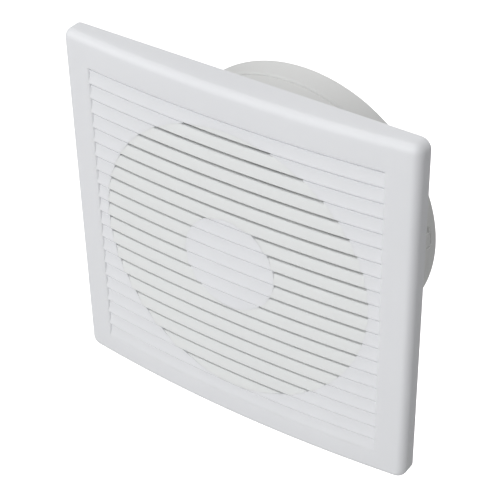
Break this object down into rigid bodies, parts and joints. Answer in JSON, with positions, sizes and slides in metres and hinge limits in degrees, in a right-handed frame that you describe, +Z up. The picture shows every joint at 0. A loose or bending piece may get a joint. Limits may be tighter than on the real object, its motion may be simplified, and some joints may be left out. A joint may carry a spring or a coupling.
{
  "type": "bathroom extractor fan",
  "caption": "Square wall extractor fan with a louvred clip-on cover, an axial impeller in a round duct collar and spring-closed back-draught flaps.",
  "frame": {"origin": "where the duct axis meets the wall plane, at the back face of the base frame", "axes": "+Y along the duct collar into the wall, +Z up, +X to the right seen from the room; the cover faces -Y"},
  "size_m": [0.19, 0.0661, 0.19],
  "materials": {
    "cover_white": "satin moulded ABS",
    "housing_white": "satin moulded ABS",
    "flap_white": "thin moulded ABS",
    "impeller_white": "moulded ABS",
    "bright_steel": "ground",
    "zinc_steel": "zinc plated",
    "lamination_steel": "stacked sheets",
    "cast_aluminium": "die cast",
    "copper": "enamelled copper wire",
    "bronze": "sintered",
    "brass": "machined",
    "bobbin_nylon": "natural nylon",
    "fuse_body": "epoxy sealed",
    "terminal_plastic": "moulded polyamide",
    "grommet_rubber": "soft rubber",
    "lead_brown": "PVC insulation",
    "lead_blue": "PVC insulation"
  },
  "bodies": {
    "housing": {"housing": "housing_white", "duct_collar": "housing_white", "motor_cradle": "housing_white", "shutter_ring": "housing_white", "flap_pin": "bright_steel", "flap_springs": "bright_steel", "stator_core": "lamination_steel", "shading_rings": "copper", "coil_bobbin": "bobbin_nylon", "coil_winding": "copper", "thermal_fuse": "fuse_body", "front_bracket": "zinc_steel", "rear_bracket": "zinc_steel", "front_bearing": "bronze", "rear_bearing": "bronze", "motor_screws": "zinc_steel", "motor_cap": "housing_white", "cap_screws": "zinc_steel", "terminal_block": "terminal_plastic", "terminal_clamps": "brass", "terminal_screws": "zinc_steel", "block_screw": "zinc_steel", "cable_grommet": "grommet_rubber", "motor_lead_live": "lead_brown", "motor_lead_neutral": "lead_blue"},
    "cover": {"front_cover": "cover_white"},
    "rotor": {"impeller": "impeller_white", "impeller_clip": "bright_steel", "motor_shaft": "bright_steel", "rotor_core": "lamination_steel", "rotor_end_rings": "cast_aluminium", "thrust_washers": "bobbin_nylon"},
    "flap_left": {"flap_left": "flap_white"},
    "flap_right": {"flap_right": "flap_white"}
  },
  "joints": [
    {"name": "cover_release", "type": "slide", "parent": "housing", "child": "cover", "axis": [0, -1, 0], "range_m": [0, 0.05]},
    {"name": "impeller_spin", "type": "hinge", "parent": "housing", "child": "rotor", "pos_m": [0, 0, 0], "axis": [0, 1, 0], "continuous": true},
    {"name": "flap_left_swing", "type": "hinge", "parent": "housing", "child": "flap_left", "pos_m": [0, 0.0479, 0], "axis": [0, 0, -1], "range_deg": [0, 75], "stiffness_Nm_per_rad": 0.002},
    {"name": "flap_right_swing", "type": "hinge", "parent": "housing", "child": "flap_right", "pos_m": [0, 0.0479, 0], "axis": [0, 0, 1], "range_deg": [0, 75], "stiffness_Nm_per_rad": 0.002}
  ]
}
